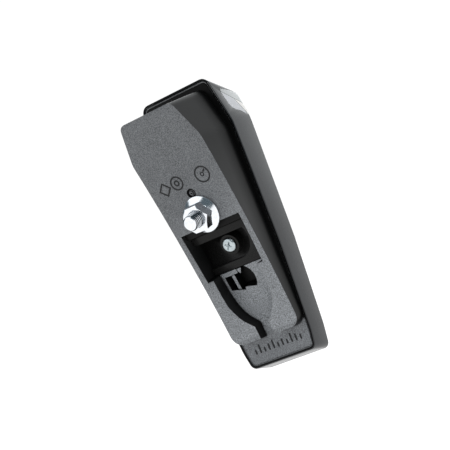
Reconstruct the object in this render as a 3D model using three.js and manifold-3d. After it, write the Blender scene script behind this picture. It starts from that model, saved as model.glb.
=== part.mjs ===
// Bicycle mudguard rear light, seen in use: long axis upright along +Z, lens towards +Y,
// mounting face towards -Y. Origin: the stud's axis where it leaves the mounting face.
// Millimetres throughout. u is height up the housing, d is depth from the rim towards the lens,
// s is distance up the mounting face from its foot, t is distance out of that face.
import * as THREE from 'three'
import { mergeVertices } from 'three/addons/utils/BufferGeometryUtils.js'
import Module from 'manifold-3d'

const wasm = await Module()
wasm.setup()

// ---------------------------------------------------------------- driving dimensions
// housing outline at the rim, half widths
const RIM_TOP = 79.0
const RIM_FOOT = -9.14
const RIM_TOP_HALF = 13.13
const RIM_KINK = 63.5
const RIM_KINK_HALF = 16.5
const RIM_MID = 24.0
const RIM_MID_HALF = 15.4
const RIM_LOW = -3.5
const RIM_LOW_HALF = 13.5
const RIM_FOOT_HALF = 12.4
// depth of the shell from its rim to its front
const DEPTH_TOP = 10.6
const DEPTH_FOOT = 7.8
const FRONT_TOP = 72.6
const FRONT_TOP_HALF = 14.55
const FRONT_FOOT = -11.0
const SHELL_WALL = 0.75
const SHELL_STEP = 0.95
const SHELL_FRONT = 1.7
const SHELL_EDGE = 0.6
// mounting face: a chord leaning back from the rim plane, hollowed along its length
const FACE_LEAN = 11.1 * Math.PI / 180
const FACE_FOOT_RISE = 3.17
const FACE_LENGTH = 76.6
const FACE_SAG = 1.6
const FACE_FACETS = 8
const FACE_TOP_HALF = 10.35
const FACE_KINK = 64.2
const FACE_KINK_HALF = 13.73
const FACE_FOOT_HALF = 12.65
const PEDESTAL_DRAFT = 1.5
// base plate that closes the shell
const BASE_RECESS = 0.35
const BASE_THICK = 2.0
const BASE_WALL = 2.0
const SEAL_WIDTH = 0.3
// M5 stud and flanged nut
const STUD_AT = 42.17
const STUD_R = 2.5
const STUD_REACH = 8.3
const STUD_HEAD_AF = 8.0
const STUD_HEAD_H = 3.5
const STUD_BOSS_R = 6.6
const STUD_BOSS_DEPTH = 11.0
const NUT_FLANGE_R = 5.9
const NUT_AF = 8.0
const NUT_HEIGHT = 5.0
const NUT_LIFT = 0.12
const GATE_AT = 49.2
const GATE_R = 1.5
// terminal pocket, the block that lines it and the clamp cover
const POCKET_LOW = 21.8
const POCKET_HIGH = 38.2
const POCKET_HALF_LOW = 10.89
const POCKET_HALF_HIGH = 11.53
const POCKET_FLOOR = -12.2
const STEP_LOW = 36.9
const STEP_LEVEL = -6.0
const BLOCK_THICK = 0.7
const LEDGE_LOW = 35.95
const LEDGE_LEVEL = -3.2
const COVER_GAP = 0.15
const COVER_FACE = -5.9
const COVER_BAR_LOW = 33.2
const COVER_BAR_HIGH = 35.5
const COVER_BAR_FACE = -4.7
const COVER_BOTTOM = -11.02
const DISH_SHALLOW = -7.4
const DISH_DEEP = -10.4
const WIRE_HALF = 8.2
const WIRE_ROOF = -7.9
const SCREW_AT = 29.4
const SCREW_R = 1.1
const SCREW_HEAD_R = 2.2
const SCREW_HEAD_H = 1.4
const SCREW_SEAT = -6.2
const SCREW_TIP = -14.3
const SCREW_BOSS_R = 3.2
// cable recess below the pocket
const FUNNEL_HALF = 8.75
const SLOT_HALF = 2.75
const FUNNEL_FLOOR = -5.65
const FUNNEL_FLOOR_AT = 13
const PIT_FLOOR = -9.8
// light unit
const BOARD_DEPTH = 4.0
const BOARD_THICK = 1.0
const LENS_WALL = 1.7
const LENS_PROUD = 0.55
const WINDOW_GAP = 0.1
const REFLECTOR_PROUD = 0.45
const FIT = 0.15
const THIN = 0.05

// ---------------------------------------------------------------- frames
const LEAN_COS = Math.cos(FACE_LEAN)
const LEAN_SIN = Math.sin(FACE_LEAN)

function sagAt(s) {
  const k = (s - FACE_LENGTH / 2) / (FACE_LENGTH / 2)
  return -FACE_SAG * (1 - k * k)
}

// depth and height, in the housing's own terms, of a point on or under the mounting face
function faceToHousing(s, t) {
  const drop = -t - FACE_FOOT_RISE
  return { u: s * LEAN_COS + drop * LEAN_SIN, d: -s * LEAN_SIN + drop * LEAN_COS }
}

// the face is built of flat strips; height of the strip surface at s
function stripLevel(s) {
  const step = FACE_LENGTH / FACE_FACETS
  const low = Math.min(Math.max(Math.floor(s / step), 0), FACE_FACETS - 1) * step
  const share = (s - low) / step
  return sagAt(low) * (1 - share) + sagAt(low + step) * share
}

const ORIGIN = faceToHousing(STUD_AT, stripLevel(STUD_AT))

function at(x, d, u) {
  return new THREE.Vector3(x, d - ORIGIN.d, u - ORIGIN.u)
}

function onFace(x, s, t) {
  const p = faceToHousing(s, t)
  return at(x, p.d, p.u)
}

function basis(origin, a, b) {
  const ea = a.clone().sub(origin).normalize()
  const eb = b.clone().sub(origin).normalize()
  const ec = ea.clone().cross(eb)
  return new THREE.Matrix4().makeBasis(ea, eb, ec).setPosition(origin)
}

// drawing planes: a shape is drawn in the first two directions and extruded along the third
const FACE = basis(onFace(0, 0, 0), onFace(1, 0, 0), onFace(0, 1, 0))
const FACE_SIDE = basis(onFace(0, 0, 0), onFace(0, 1, 0), onFace(0, 0, 1))
const HOUSING = basis(at(0, 0, 0), at(1, 0, 0), at(0, 0, 1))
const HOUSING_SIDE = basis(at(0, 0, 0), at(0, 1, 0), at(0, 0, 1))

// ---------------------------------------------------------------- solids
function solid(geometry) {
  const bare = geometry.clone()
  bare.deleteAttribute('normal')
  bare.deleteAttribute('uv')
  const welded = mergeVertices(bare, 1e-4)
  const index = Array.from(welded.index.array)
  const kept = []
  for (let i = 0; i < index.length; i += 3) {
    const [a, b, c] = index.slice(i, i + 3)
    if (a !== b && b !== c && a !== c) kept.push(a, b, c)
  }
  const vertProperties = new Float32Array(welded.attributes.position.array)
  const mesh = new wasm.Mesh({ numProp: 3, vertProperties, triVerts: new Uint32Array(kept) })
  return new wasm.Manifold(mesh)
}

function cut(body, ...tools) {
  return tools.reduce((rest, tool) => rest.subtract(tool), body)
}

function join(body, ...others) {
  return others.reduce((sum, other) => sum.add(other), body)
}

function geometryOf(body) {
  const mesh = body.getMesh()
  const geometry = new THREE.BufferGeometry()
  geometry.setAttribute('position', new THREE.BufferAttribute(new Float32Array(mesh.vertProperties), 3))
  geometry.setIndex(new THREE.BufferAttribute(new Uint32Array(mesh.triVerts), 1))
  const flat = geometry.toNonIndexed()
  flat.computeVertexNormals()
  return flat
}

// straight extrusion of a closed outline, from one level to another along the plane's normal
function prism(points, from, to, plane) {
  const shape = new THREE.Shape(points.map(([x, y]) => new THREE.Vector2(x, y)))
  const geometry = new THREE.ExtrudeGeometry(shape, { depth: to - from, bevelEnabled: false })
  geometry.translate(0, 0, from)
  geometry.applyMatrix4(plane)
  return solid(geometry)
}

function box(x0, x1, y0, y1, z0, z1, plane) {
  return prism([[x0, y0], [x1, y0], [x1, y1], [x0, y1]], z0, z1, plane)
}

// turned body about the plane's normal through (x, y); profile is [radius, level] pairs
function turned(profile, x, y, plane, segments = 32) {
  const geometry = new THREE.LatheGeometry(profile.map(([r, z]) => new THREE.Vector2(r, z)), segments)
  geometry.rotateX(Math.PI / 2)
  geometry.translate(x, y, 0)
  geometry.applyMatrix4(plane)
  return solid(geometry)
}

function disc(radius, x, y, z0, z1, plane, segments = 32) {
  return turned([[0, z0], [radius, z0], [radius, z1], [0, z1]], x, y, plane, segments)
}

function hexagon(acrossFlats, x, y) {
  const radius = acrossFlats / Math.sqrt(3)
  return Array.from({ length: 6 }, (_, i) => {
    const angle = i * Math.PI / 3
    return [x + radius * Math.cos(angle), y + radius * Math.sin(angle)]
  })
}

// skin through rings of equal point count, closed at both ends
function loft(ringsGiven) {
  const flatGiven = ringsGiven[0].map((p) => new THREE.Vector2(p.x, p.z))
  const clockwise = THREE.ShapeUtils.isClockWise(flatGiven)
  const rings = clockwise ? ringsGiven.map((ring) => [...ring].reverse()) : ringsGiven
  const flat = rings[0].map((p) => new THREE.Vector2(p.x, p.z))
  const count = rings[0].length
  const positions = rings.flat().flatMap((p) => [p.x, p.y, p.z])
  const index = []
  for (let k = 0; k + 1 < rings.length; k += 1) {
    for (let i = 0; i < count; i += 1) {
      const a = k * count + i
      const b = k * count + (i + 1) % count
      index.push(a, b + count, b, a, a + count, b + count)
    }
  }
  const last = (rings.length - 1) * count
  for (const [a, b, c] of THREE.ShapeUtils.triangulateShape(flat, [])) {
    index.push(a, b, c, last + a, last + c, last + b)
  }
  const forwards = rings[rings.length - 1][0].y > rings[0][0].y
  const geometry = new THREE.BufferGeometry()
  geometry.setAttribute('position', new THREE.Float32BufferAttribute(positions, 3))
  geometry.setIndex(forwards ? index : index.reverse())
  return solid(geometry)
}

// ---------------------------------------------------------------- outlines
// corners run down the right side from the top: [half width, height, radius, arc steps]
function mirrored(corners) {
  const left = corners.map(([x, y, r, n]) => [-x, y, r, n]).reverse()
  return [...corners, ...left]
}

function rounded(corners) {
  const count = corners.length
  const points = []
  corners.forEach(([x, y, radius, steps], i) => {
    const here = new THREE.Vector2(x, y)
    const before = new THREE.Vector2(...corners[(i + count - 1) % count].slice(0, 2)).sub(here).normalize()
    const after = new THREE.Vector2(...corners[(i + 1) % count].slice(0, 2)).sub(here).normalize()
    const half = Math.acos(THREE.MathUtils.clamp(before.dot(after), -1, 1)) / 2
    const reach = radius / Math.tan(half)
    const centre = before.clone().add(after).normalize().multiplyScalar(radius / Math.sin(half)).add(here)
    const start = before.clone().multiplyScalar(reach).add(here).sub(centre)
    const end = after.clone().multiplyScalar(reach).add(here).sub(centre)
    const sweep = Math.atan2(start.cross(end), start.dot(end))
    for (let k = 0; k <= steps; k += 1) {
      const spoke = start.clone().rotateAround(new THREE.Vector2(), sweep * k / steps)
      points.push([centre.x + spoke.x, centre.y + spoke.y])
    }
  })
  return points
}

// the same corners moved in square to the edges they join
function inset(corners, amount) {
  const count = corners.length
  return corners.map(([x, y, radius, steps], i) => {
    const here = new THREE.Vector2(x, y)
    const previous = new THREE.Vector2(...corners[(i + count - 1) % count].slice(0, 2))
    const before = here.clone().sub(previous).normalize()
    const after = new THREE.Vector2(...corners[(i + 1) % count].slice(0, 2)).sub(here).normalize()
    const inwardA = new THREE.Vector2(before.y, -before.x)
    const inwardB = new THREE.Vector2(after.y, -after.x)
    const bisector = inwardA.clone().add(inwardB).normalize()
    const reach = amount / bisector.dot(inwardA)
    return [x + bisector.x * reach, y + bisector.y * reach, Math.max(radius - amount, 0.4), steps]
  })
}

const RIM = mirrored([
  [RIM_TOP_HALF, RIM_TOP, 3.0, 5],
  [RIM_KINK_HALF, RIM_KINK, 16.0, 3],
  [RIM_MID_HALF, RIM_MID, 60.0, 2],
  [RIM_LOW_HALF, RIM_LOW, 20.0, 2],
  [RIM_FOOT_HALF, RIM_FOOT, 2.2, 5],
])
const FRONT = mirrored([
  [FRONT_TOP_HALF, FRONT_TOP, 2.6, 5],
  [RIM_KINK_HALF, RIM_KINK, 16.0, 3],
  [RIM_MID_HALF, RIM_MID, 60.0, 2],
  [RIM_LOW_HALF, RIM_LOW, 20.0, 2],
  [RIM_FOOT_HALF, FRONT_FOOT, 2.2, 5],
])

function frontDepth(u) {
  const share = (u - FRONT_FOOT) / (FRONT_TOP - FRONT_FOOT)
  return DEPTH_FOOT + (DEPTH_TOP - DEPTH_FOOT) * share
}

function blend(a, b, share) {
  return a.map(([x, y, r, n], i) => [x + (b[i][0] - x) * share, y + (b[i][1] - y) * share, r, n])
}

// outline of the shell's outside, drawn in by `amount`, at a share of the way to its front
function shellRing(share, amount, depthOf) {
  const corners = inset(blend(RIM, FRONT, share), amount)
  return rounded(corners).map(([x, u]) => at(x, depthOf(u), u))
}

// the same outline at one depth all round
function levelRing(depth, amount) {
  const corners = RIM.map(([x, y, r, n], i) => {
    const share = depth / frontDepth(y)
    return [x + (FRONT[i][0] - x) * share, y + (FRONT[i][1] - y) * share, r, n]
  })
  return rounded(inset(corners, amount)).map(([x, u]) => at(x, depth, u))
}

// ---------------------------------------------------------------- outer shell
const shellOutside = loft([
  levelRing(0, 0.25),
  levelRing(0.25, 0),
  shellRing(0.93, 0, (u) => frontDepth(u) - SHELL_EDGE),
  shellRing(1, SHELL_EDGE, frontDepth),
])
const mouthEnd = BASE_RECESS + BASE_THICK + FIT
const shellMouth = loft([levelRing(-1, SHELL_WALL), levelRing(mouthEnd, SHELL_WALL)])
const shellBore = loft([
  levelRing(-1, SHELL_WALL + SHELL_STEP),
  shellRing(0.9, SHELL_WALL + SHELL_STEP, (u) => frontDepth(u) - SHELL_FRONT),
])

// clear lens zone: a band across the top of the front that wraps onto both side walls
const windowOutline = [
  [3.8, 74.0], [3.0, 72.7], [3.2, 68.6], [3.7, 67.3], [5.2, 66.2], [6.8, 65.6],
  [9.0, 63.9], [14, 63.6], [14, 71.6], [9.6, 72.0],
]

function grown(points, amount) {
  const cx = points.reduce((sum, p) => sum + p[0], 0) / points.length
  const cy = points.reduce((sum, p) => sum + p[1], 0) / points.length
  return points.map(([x, y]) => [x + Math.sign(x - cx) * amount, y + Math.sign(y - cy) * amount])
}

const windowPrism = prism(windowOutline, -30, 30, HOUSING_SIDE)
const windowCut = prism(grown(windowOutline, WINDOW_GAP), -30, 30, HOUSING_SIDE)

// seat for the reflex reflector in the front, with a through opening behind it
const REFLECTOR_TOP = 60.6
const REFLECTOR_SEAT = 1.1
const reflectorCorners = mirrored([
  [RIM_KINK_HALF - 2.6, REFLECTOR_TOP, 1.6, 4],
  [RIM_MID_HALF - 2.6, RIM_MID, 60.0, 2],
  [RIM_LOW_HALF - 2.8, RIM_LOW, 20.0, 2],
  [RIM_FOOT_HALF - 3.2, FRONT_FOOT + 3.4, 1.8, 4],
])

function frontSlab(corners, sink, rise) {
  const outline = rounded(corners)
  return loft([
    outline.map(([x, u]) => at(x, frontDepth(u) + sink, u)),
    outline.map(([x, u]) => at(x, frontDepth(u) + rise, u)),
  ])
}

const reflectorSeat = frontSlab(reflectorCorners, -REFLECTOR_SEAT, 3)
const reflectorHole = frontSlab(inset(reflectorCorners, 1.2), -6, 3)
const shell = cut(shellOutside, shellMouth, shellBore, windowCut, reflectorSeat, reflectorHole)

// ---------------------------------------------------------------- lens and reflector
const lensOutside = loft([
  levelRing(0, 0),
  shellRing(0.93, 0, (u) => frontDepth(u) - SHELL_EDGE + 0.1),
  shellRing(1, 0.35, (u) => frontDepth(u) + LENS_PROUD * 0.6),
  shellRing(1, 1.2, (u) => frontDepth(u) + LENS_PROUD),
])
const lensInside = loft([
  levelRing(-1, LENS_WALL),
  shellRing(0.9, LENS_WALL, (u) => frontDepth(u) - LENS_WALL + 0.2),
])
const lens = cut(lensOutside.intersect(windowPrism), lensInside)
const reflectorBody = inset(reflectorCorners, FIT)
const reflector = loft([
  rounded(reflectorBody).map(([x, u]) => at(x, frontDepth(u) - REFLECTOR_SEAT + THIN, u)),
  rounded(reflectorBody).map(([x, u]) => at(x, frontDepth(u) + REFLECTOR_PROUD - 0.25, u)),
  rounded(inset(reflectorBody, 0.5)).map(([x, u]) => at(x, frontDepth(u) + REFLECTOR_PROUD, u)),
])

// ---------------------------------------------------------------- base housing
const baseInset = SHELL_WALL + SEAL_WIDTH + 2 * THIN
const baseEnd = BASE_RECESS + BASE_THICK
const basePlate = loft([
  levelRing(BASE_RECESS, baseInset + 0.15),
  levelRing(BASE_RECESS + 0.15, baseInset),
  levelRing(baseEnd, baseInset),
])
const faceTop = faceToHousing(FACE_LENGTH, 0)
const faceKink = faceToHousing(FACE_KINK, sagAt(FACE_KINK))
const faceFoot = faceToHousing(0, 0)
const pedestalFoot = mirrored([
  [FACE_TOP_HALF, faceTop.u + PEDESTAL_DRAFT, 2.4, 4],
  [FACE_KINK_HALF + 0.17, faceKink.u, 8.0, 3],
  [FACE_FOOT_HALF + 0.05, faceFoot.u - 0.05, 3.6, 5],
])
const pedestalTop = mirrored([
  [FACE_TOP_HALF, faceTop.u, 2.4, 4],
  [FACE_KINK_HALF, faceKink.u, 8.0, 3],
  [FACE_FOOT_HALF, faceFoot.u, 3.6, 5],
])

function pedestalRing(corners, amount, depth) {
  return rounded(inset(corners, amount)).map(([x, u]) => at(x, depth, u))
}

// everything under the hollowed face, or under a surface a set distance below it
function underFace(offset) {
  const step = FACE_LENGTH / FACE_FACETS
  const crest = Array.from({ length: FACE_FACETS + 1 }, (_, i) => [i * step, sagAt(i * step) - offset])
  const end = FACE_LENGTH + 4
  const outline = [[-4, -60], [-4, -offset], ...crest, [end, -offset], [end, -60]]
  return prism(outline, -30, 30, FACE_SIDE)
}

// where the pedestal meets the base plate it stays inside the seal
const sealInner = SHELL_WALL + THIN + SEAL_WIDTH
const insideSeal = loft([levelRing(0, sealInner + THIN / 2), levelRing(baseEnd, sealInner + THIN / 2)])
const sealBand = cut(box(-30, 30, -40, 120, -BASE_RECESS - 0.6, -BASE_RECESS, HOUSING), insideSeal)
const pedestal = cut(loft([
  pedestalRing(pedestalFoot, 0, BASE_RECESS + 0.5),
  pedestalRing(pedestalTop, 0, faceTop.d),
  pedestalRing(pedestalTop, 0, faceTop.d - 3),
]).intersect(underFace(0)), sealBand)

// room for the electronics inside the pedestal, above the terminal pocket
const roomLow = POCKET_HIGH + 1.6
const room = loft([
  pedestalRing(pedestalFoot, BASE_WALL, baseEnd + 1),
  pedestalRing(pedestalTop, BASE_WALL, faceTop.d),
]).intersect(underFace(BASE_WALL + 0.2)).intersect(box(-30, 30, roomLow, 90, -60, 10, FACE))
const studBoss = disc(STUD_BOSS_R, 0, STUD_AT, -STUD_BOSS_DEPTH, 0, FACE, 36)
const POST_X = 9.4
const POST_U = 56.0
const POST_R = 2.3
const SIDES = [-1, 1]
const posts = SIDES.map((side) => disc(POST_R, side * POST_X, POST_U, THIN - BOARD_DEPTH, 14, HOUSING, 20))
const pocketWalls = box(
  -POCKET_HALF_HIGH - 1.4, POCKET_HALF_HIGH + 1.4, POCKET_LOW - 1.4, roomLow, POCKET_FLOOR - 1.2, -1.8, FACE,
)
const screwPost = disc(2.6, 0, SCREW_AT, SCREW_TIP - 0.7, POCKET_FLOOR, FACE, 24)
const pitWalls = box(-FUNNEL_HALF - 0.2, 4.3, 13.2, POCKET_LOW, PIT_FLOOR - 1.1, FUNNEL_FLOOR - 0.5, FACE)

// terminal pocket, narrowing downwards with the face, with a shallow step along its top
function pocketHalf(s) {
  const share = (s - POCKET_LOW) / (POCKET_HIGH - POCKET_LOW)
  return POCKET_HALF_LOW + (POCKET_HALF_HIGH - POCKET_HALF_LOW) * share
}

// a slab that follows the pocket's side walls at a clearance
function pocketSlab(s0, s1, t0, t1, gap) {
  const low = pocketHalf(s0) - gap
  const high = pocketHalf(s1) - gap
  return prism([[-low, s0], [low, s0], [high, s1], [-high, s1]], t0, t1, FACE)
}

const pocket = join(
  pocketSlab(POCKET_LOW, STEP_LOW, POCKET_FLOOR, 5, 0),
  pocketSlab(STEP_LOW - 0.5, POCKET_HIGH, STEP_LEVEL, 5, 0),
)

// level of the base plate's outer surface, in the mounting face's terms
function plateLevel(s) {
  return -FACE_FOOT_RISE - (BASE_RECESS + s * LEAN_SIN) / LEAN_COS
}

// funnel: near-parallel sides, round shoulders drawing in to the cable slot at the foot
const funnelSide = [
  [FUNNEL_HALF, POCKET_LOW + 0.5], [FUNNEL_HALF - 0.1, 16.0], [8.4, 12.9], [7.7, 10.75], [6.65, 8.4],
  [5.3, 6.5], [3.8, 5.1], [SLOT_HALF, 4.0], [SLOT_HALF, -3.0],
]
const funnelOutline = [...funnelSide, ...funnelSide.map(([x, s]) => [-x, s]).reverse()]
const aboveFloor = prism([
  [-8, plateLevel(-8) + THIN], [-0.4, plateLevel(-0.4) + THIN], [FUNNEL_FLOOR_AT, FUNNEL_FLOOR],
  [30, FUNNEL_FLOOR], [30, 8], [-8, 8],
], -30, 30, FACE_SIDE)
const funnel = prism(funnelOutline, -14, 6, FACE).intersect(aboveFloor)

// wire pit: a round-ended opening in the funnel floor that runs on under the clamp cover
const PIT_LEFT = -7.6
const PIT_ROUND_X = -1.95
const PIT_ROUND_R = 4.85
const PIT_LOW = 14.6
const pitRound = Array.from({ length: 13 }, (_, i) => {
  const angle = -0.72 + i * 1.72 / 12
  return [PIT_ROUND_X + PIT_ROUND_R * Math.cos(angle), 17.8 + PIT_ROUND_R * Math.sin(angle)]
})
const pit = prism([
  [PIT_LEFT, 15.9], [-4.9, 15.2], [-2.6, PIT_LOW], [-2.3, 15.5], [-0.7, 15.2], ...pitRound,
  [0.2, POCKET_LOW + 0.3], [PIT_LEFT, POCKET_LOW + 0.3],
], PIT_FLOOR, 2, FACE)
const RIB_LEFT = -5.2
const RIB_RIGHT = -4.15
const ribHigh = POCKET_LOW - 1.2
const pitRib = box(RIB_LEFT, RIB_RIGHT, 14, ribHigh, PIT_FLOOR - 0.3, FUNNEL_FLOOR - 0.3, FACE)
const pitRibBase = box(
  RIB_LEFT - FIT, RIB_RIGHT + FIT, 14, ribHigh + FIT, PIT_FLOOR - 0.3, FUNNEL_FLOOR, FACE,
)
const pitBridge = box(PIT_LEFT - 0.5, -2.4, 20.4, POCKET_LOW - 0.05, FUNNEL_FLOOR - 1.6, FUNNEL_FLOOR, FACE)
const pitTooth = prism(
  [[-2.9, POCKET_LOW - 0.2], [-0.6, POCKET_LOW - 0.2], [-1.6, 19.9]],
  FUNNEL_FLOOR - 2.5, FUNNEL_FLOOR - 0.2, FACE,
)

const level = stripLevel(STUD_AT)
const headSeat = -STUD_BOSS_DEPTH + STUD_HEAD_H + 0.5
const studHole = disc(STUD_R + THIN, 0, STUD_AT, -20, 5, FACE, 36)
const headRecess = prism(hexagon(STUD_HEAD_AF + 2 * FIT, 0, STUD_AT), -16, headSeat, FACE)
const gateRing = turned([
  [0.55, 3], [0.55, sagAt(GATE_AT) - 0.4], [GATE_R, sagAt(GATE_AT) - 0.4], [GATE_R, 3],
  [0.55, 3],
], 0, GATE_AT, FACE, 28)
const pilot = disc(SCREW_R + THIN, 0, SCREW_AT, SCREW_TIP - 0.15, 0, FACE, 24)
const postPilots = SIDES.map((side) => (
  disc(0.9, side * POST_X, POST_U, -BOARD_DEPTH - 1, -BOARD_DEPTH + 6, HOUSING, 16)
))

// contact strips lie on the block's floor and pass out beside the stud head
const CONTACT_X = 6.4
const CONTACT_HALF = 1.5
const CONTACT_FLOOR = POCKET_FLOOR + BLOCK_THICK + 2 * THIN
const CONTACT_TOP = CONTACT_FLOOR + 0.3
function contactSlot(side, s0, s1) {
  const x = side * CONTACT_X
  const half = CONTACT_HALF + 2 * THIN
  return box(x - half, x + half, s0, s1, CONTACT_FLOOR - THIN, CONTACT_TOP + THIN, FACE)
}
const contactSlots = [-1, 1].map((side) => contactSlot(side, STEP_LOW - 0.5, roomLow + 0.5))

const roomKept = cut(room, studBoss, ...posts)
const walls = pocketWalls.intersect(underFace(0.4))
const block = cut(join(basePlate, pedestal, walls, screwPost, pitWalls), roomKept)
const withPosts = join(block, ...posts.map((post) => post.intersect(underFace(0.5))))
const pitCut = cut(pit, pitRib, pitBridge, pitTooth)
const base = cut(
  withPosts, pocket, funnel, pitCut, studHole, headRecess, gateRing, pilot, ...postPilots, ...contactSlots,
)

const sealOuter = SHELL_WALL + THIN
const seal = cut(
  loft([levelRing(BASE_RECESS + 0.1, sealOuter), levelRing(baseEnd - 0.1, sealOuter)]),
  loft([levelRing(BASE_RECESS, sealInner), levelRing(baseEnd, sealInner)]),
)

// ---------------------------------------------------------------- stud, nut, clamp cover and screw
const studShank = turned([
  [0, headSeat - 0.2], [STUD_R, headSeat - 0.2], [STUD_R, level + STUD_REACH - 0.7],
  [STUD_R - 0.6, level + STUD_REACH], [0, level + STUD_REACH],
], 0, STUD_AT, FACE, 36)
const studHead = prism(hexagon(STUD_HEAD_AF, 0, STUD_AT), headSeat - STUD_HEAD_H, headSeat - THIN, FACE)
const stud = join(studShank, studHead)

const nutBottom = level + NUT_LIFT
const nutFlange = turned([
  [0, nutBottom], [NUT_FLANGE_R - 0.15, nutBottom], [NUT_FLANGE_R, nutBottom + 0.2],
  [NUT_FLANGE_R, nutBottom + 0.65], [NUT_AF / 2 + 0.1, nutBottom + 1.75], [0, nutBottom + 1.75],
], 0, STUD_AT, FACE, 40)
const nutCone = turned([
  [0, nutBottom], [NUT_AF * 0.62, nutBottom], [NUT_AF * 0.62, nutBottom + NUT_HEIGHT - 0.65],
  [NUT_AF * 0.49, nutBottom + NUT_HEIGHT], [0, nutBottom + NUT_HEIGHT],
], 0, STUD_AT, FACE, 40)
const nutHex = prism(
  hexagon(NUT_AF, 0, STUD_AT), nutBottom + 0.3, nutBottom + NUT_HEIGHT, FACE,
).intersect(nutCone)
const nutBore = turned([
  [0, nutBottom - 1], [STUD_R + 0.45, nutBottom - 1], [STUD_R + 0.06, nutBottom + 0.5],
  [STUD_R + 0.06, nutBottom + NUT_HEIGHT - 0.4], [STUD_R + 0.45, nutBottom + NUT_HEIGHT + 1],
  [0, nutBottom + NUT_HEIGHT + 1],
], 0, STUD_AT, FACE, 36)
const nut = cut(join(nutFlange, nutHex), nutBore)

// carrier that lines the pocket: a floor, an upright behind the cover, the ledge above it, and a
// tongue that steps up out of the pocket to floor the wire pit
const TONGUE_TOP = PIT_FLOOR + 0.5
const tongue = join(
  prism([
    [PIT_LEFT + FIT, 16.2], [-4.9, 15.75], [-0.9, 15.75], [1.4, 15.1], [2.4, 16.6], [2.7, 18.4], [1.7, 20.6],
    [0, 21.4], [0, POCKET_LOW + 0.7], [PIT_LEFT + FIT, POCKET_LOW + 0.7],
  ], PIT_FLOOR + THIN, TONGUE_TOP, FACE),
  box(PIT_LEFT + FIT, 0, POCKET_LOW + FIT, POCKET_LOW + 0.7, POCKET_FLOOR + THIN, TONGUE_TOP, FACE),
)
const blockFloorTop = POCKET_FLOOR + THIN + BLOCK_THICK
const terminalBlock = cut(
  join(
    pocketSlab(POCKET_LOW + COVER_GAP, STEP_LOW - COVER_GAP, POCKET_FLOOR + THIN, blockFloorTop, COVER_GAP),
    pocketSlab(LEDGE_LOW, STEP_LOW - COVER_GAP, POCKET_FLOOR + THIN, LEDGE_LEVEL, COVER_GAP),
    pocketSlab(LEDGE_LOW, POCKET_HIGH - COVER_GAP, STEP_LEVEL + THIN, LEDGE_LEVEL, COVER_GAP),
    cut(tongue, pitRibBase),
  ),
  ...[-1, 1].map((side) => contactSlot(side, LEDGE_LOW - 0.5, STEP_LOW)),
  disc(SCREW_R + 0.25, 0, SCREW_AT, -20, 0, FACE, 24),
)

function coverSlab(s0, s1, t0, t1) {
  return pocketSlab(s0, s1, t0, t1, COVER_GAP)
}
const coverMain = coverSlab(POCKET_LOW + COVER_GAP, COVER_BAR_LOW + 0.5, COVER_BOTTOM, COVER_FACE)
const coverBar = coverSlab(COVER_BAR_LOW, COVER_BAR_HIGH, COVER_BOTTOM, COVER_BAR_FACE)
// dished recess with one round end; its floor falls away towards the bar
const DISH_X = 1.5
const DISH_AT = 30.3
const DISH_R = 6.1
const dishOutline = [[-13, DISH_AT - DISH_R]]
for (let k = 0; k <= 14; k += 1) {
  const angle = -Math.PI / 2 + k * Math.PI / 14
  dishOutline.push([DISH_X + DISH_R * Math.cos(angle), DISH_AT + DISH_R * Math.sin(angle)])
}
dishOutline.push([-13, DISH_AT + DISH_R])
const dishFloor = prism(
  [[DISH_AT - DISH_R, DISH_SHALLOW], [COVER_BAR_LOW, DISH_DEEP], [COVER_BAR_LOW, 4], [DISH_AT - DISH_R, 4]],
  -13, 9, FACE_SIDE,
)
const dish = prism(dishOutline, -20, 4, FACE).intersect(dishFloor)
const screwBoss = disc(SCREW_BOSS_R, 0, SCREW_AT, COVER_BOTTOM + 0.2, SCREW_SEAT + 0.35, FACE, 32)
const screwSink = disc(SCREW_HEAD_R + 0.2, 0, SCREW_AT, SCREW_SEAT, 4, FACE, 32)
const screwWay = disc(SCREW_R + 0.25, 0, SCREW_AT, -20, 4, FACE, 24)
// wires enter along the cover's low edge and are pressed onto the contact teeth
const wireWay = box(-WIRE_HALF, WIRE_HALF, POCKET_LOW - 1, POCKET_LOW + 2.2, -20, WIRE_ROOF, FACE)
const cover = cut(join(cut(join(coverMain, coverBar), dish), screwBoss), screwSink, screwWay, wireWay)

const screwHead = turned([
  [0, SCREW_SEAT + THIN], [SCREW_HEAD_R, SCREW_SEAT + THIN], [SCREW_HEAD_R, SCREW_SEAT + SCREW_HEAD_H * 0.6],
  [SCREW_HEAD_R * 0.8, SCREW_SEAT + SCREW_HEAD_H * 0.93], [SCREW_HEAD_R * 0.4, SCREW_SEAT + SCREW_HEAD_H],
  [0, SCREW_SEAT + SCREW_HEAD_H],
], 0, SCREW_AT, FACE, 32)
const screwShank = turned([
  [0, SCREW_TIP], [SCREW_R * 0.55, SCREW_TIP], [SCREW_R, SCREW_TIP + 1.2],
  [SCREW_R, SCREW_SEAT + 0.3], [0, SCREW_SEAT + 0.3],
], 0, SCREW_AT, FACE, 24)
const crossTop = SCREW_SEAT + SCREW_HEAD_H
const crossArms = [Math.PI / 4 + 0.1, -Math.PI / 4 + 0.1].map((angle) => {
  const arm = [[-1.25, -0.27], [1.25, -0.27], [1.25, 0.27], [-1.25, 0.27]]
  const turnedArm = arm.map(([x, y]) => [
    x * Math.cos(angle) - y * Math.sin(angle), SCREW_AT + x * Math.sin(angle) + y * Math.cos(angle),
  ])
  return prism(turnedArm, crossTop - 0.85, crossTop + 1, FACE)
})
const screw = cut(join(screwHead, screwShank), ...crossArms)

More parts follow.
